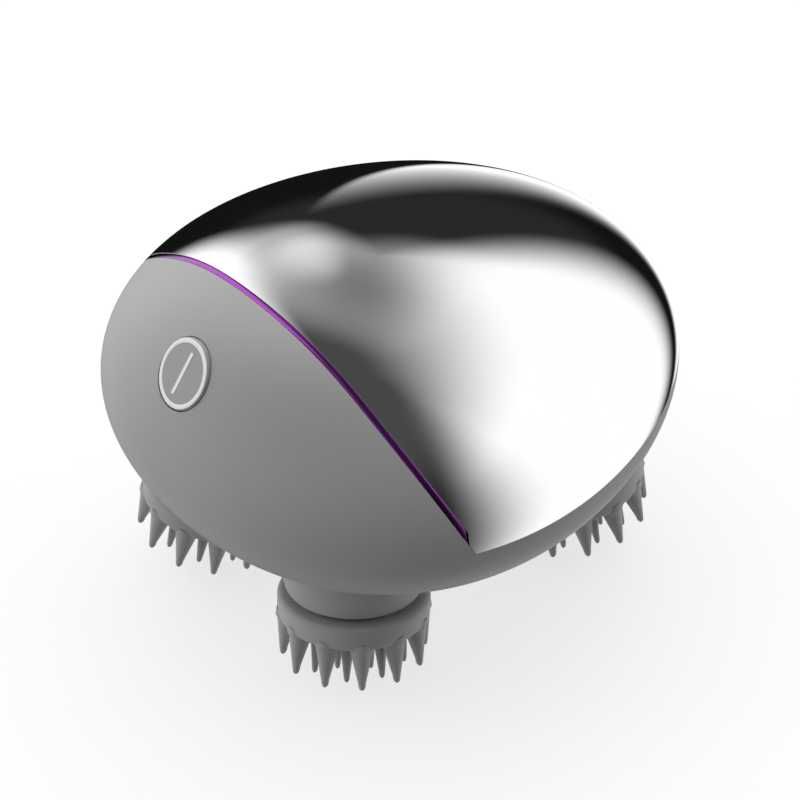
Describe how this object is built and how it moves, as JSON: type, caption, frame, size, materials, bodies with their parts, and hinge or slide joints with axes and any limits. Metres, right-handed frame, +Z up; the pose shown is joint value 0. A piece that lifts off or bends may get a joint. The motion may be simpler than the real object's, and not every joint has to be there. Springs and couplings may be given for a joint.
{
  "type": "scalp massager brush",
  "caption": "Palm-held egg-shaped scalp massager with a mirror top cover, a grey housing with a push button, and leaning spinning heads with soft conical tips.",
  "frame": {"origin": "on the resting plane, under the middle of the bounding box", "axes": "+X from the button end to the rear end, +Z up, right-handed"},
  "size_m": [0.1179, 0.1106, 0.0774],
  "materials": {
    "housing_plastic": "satin moulded plastic",
    "cover_chrome": "mirror",
    "strip_metallic": "metallic gloss",
    "seal_rubber": "matte",
    "button_plastic": "satin",
    "icon_print": "printed",
    "circuit_board": "solder mask",
    "chassis_plastic": "matte",
    "steel": "ground",
    "gear_plastic": "moulded acetal",
    "motor_can": "plated",
    "pinion_brass": "machined",
    "screw_steel": "plated",
    "battery_wrap": "shrink wrap",
    "contact_gold": "plated",
    "tip_silicone": "matte silicone",
    "hub_plastic": "matte",
    "bushing_brass": "sintered"
  },
  "bodies": {
    "body_shell": {"main_housing": "housing_plastic", "top_cover": "cover_chrome", "accent_strip": "strip_metallic", "cover_gasket": "seal_rubber", "button_board": "circuit_board", "gear_chassis": "chassis_plastic", "centre_axle": "steel", "idler_pin": "steel", "gear_motor": "motor_can", "motor_screws": "screw_steel", "battery_cell": "battery_wrap", "battery_cradle": "chassis_plastic", "main_board": "circuit_board", "charge_contacts": "contact_gold", "long_screws": "screw_steel", "chassis_screw": "screw_steel", "shaft_bushing_front_left": "bushing_brass", "shaft_bushing_front_right": "bushing_brass", "shaft_bushing_rear_left": "bushing_brass", "shaft_bushing_rear_right": "bushing_brass", "shaft_seal_front_left": "seal_rubber", "shaft_seal_front_right": "seal_rubber", "shaft_seal_rear_left": "seal_rubber", "shaft_seal_rear_right": "seal_rubber"},
    "button": {"button_cap": "button_plastic", "button_icon": "icon_print"},
    "centre_gear": {"centre_gear": "gear_plastic"},
    "idler_gear": {"idler_gear": "gear_plastic"},
    "motor_pinion": {"motor_pinion": "pinion_brass"},
    "head_front_left": {"head_pad_front_left": "tip_silicone", "head_hub_front_left": "hub_plastic", "head_shaft_front_left": "steel", "head_gear_front_left": "gear_plastic"},
    "head_front_right": {"head_pad_front_right": "tip_silicone", "head_hub_front_right": "hub_plastic", "head_shaft_front_right": "steel", "head_gear_front_right": "gear_plastic"},
    "head_rear_left": {"head_pad_rear_left": "tip_silicone", "head_hub_rear_left": "hub_plastic", "head_shaft_rear_left": "steel", "head_gear_rear_left": "gear_plastic"},
    "head_rear_right": {"head_pad_rear_right": "tip_silicone", "head_hub_rear_right": "hub_plastic", "head_shaft_rear_right": "steel", "head_gear_rear_right": "gear_plastic"}
  },
  "joints": [
    {"name": "button_press", "type": "slide", "parent": "body_shell", "child": "button", "axis": [0.8345, -0.1084, -0.5402], "range_m": [0, 0.0006], "stiffness_N_per_m": 2500, "springref_m": -0.0003},
    {"name": "centre_gear_spin", "type": "hinge", "parent": "body_shell", "child": "centre_gear", "pos_m": [-0.00237, 0, 0.032], "axis": [0, 0, 1], "continuous": true},
    {"name": "idler_gear_spin", "type": "hinge", "parent": "body_shell", "child": "idler_gear", "pos_m": [-0.00237, 0.0275, 0.034], "axis": [0, 0, 1], "continuous": true},
    {"name": "motor_pinion_spin", "type": "hinge", "parent": "body_shell", "child": "motor_pinion", "pos_m": [0.00562, 0.01005, 0.036], "axis": [0, 0, 1], "continuous": true},
    {"name": "head_front_left_spin", "type": "hinge", "parent": "body_shell", "child": "head_front_left", "pos_m": [-0.03188, -0.0224, 0.01208], "axis": [0.1285, 0.1364, 0.9823], "continuous": true},
    {"name": "head_front_right_spin", "type": "hinge", "parent": "body_shell", "child": "head_front_right", "pos_m": [-0.03188, 0.0224, 0.01208], "axis": [0.1285, -0.1364, 0.9823], "continuous": true},
    {"name": "head_rear_left_spin", "type": "hinge", "parent": "body_shell", "child": "head_rear_left", "pos_m": [0.02712, -0.0224, 0.01208], "axis": [-0.1285, 0.1364, 0.9823], "continuous": true},
    {"name": "head_rear_right_spin", "type": "hinge", "parent": "body_shell", "child": "head_rear_right", "pos_m": [0.02712, 0.0224, 0.01208], "axis": [-0.1285, -0.1364, 0.9823], "continuous": true}
  ],
  "couplings": [
    {"joint": "centre_gear_spin", "follows": "head_front_left_spin", "ratio": -0.5},
    {"joint": "idler_gear_spin", "follows": "head_front_left_spin", "ratio": 2},
    {"joint": "motor_pinion_spin", "follows": "head_front_left_spin", "ratio": -6},
    {"joint": "head_front_right_spin", "follows": "head_front_left_spin", "ratio": 1},
    {"joint": "head_rear_left_spin", "follows": "head_front_left_spin", "ratio": 1},
    {"joint": "head_rear_right_spin", "follows": "head_front_left_spin", "ratio": 1}
  ]
}
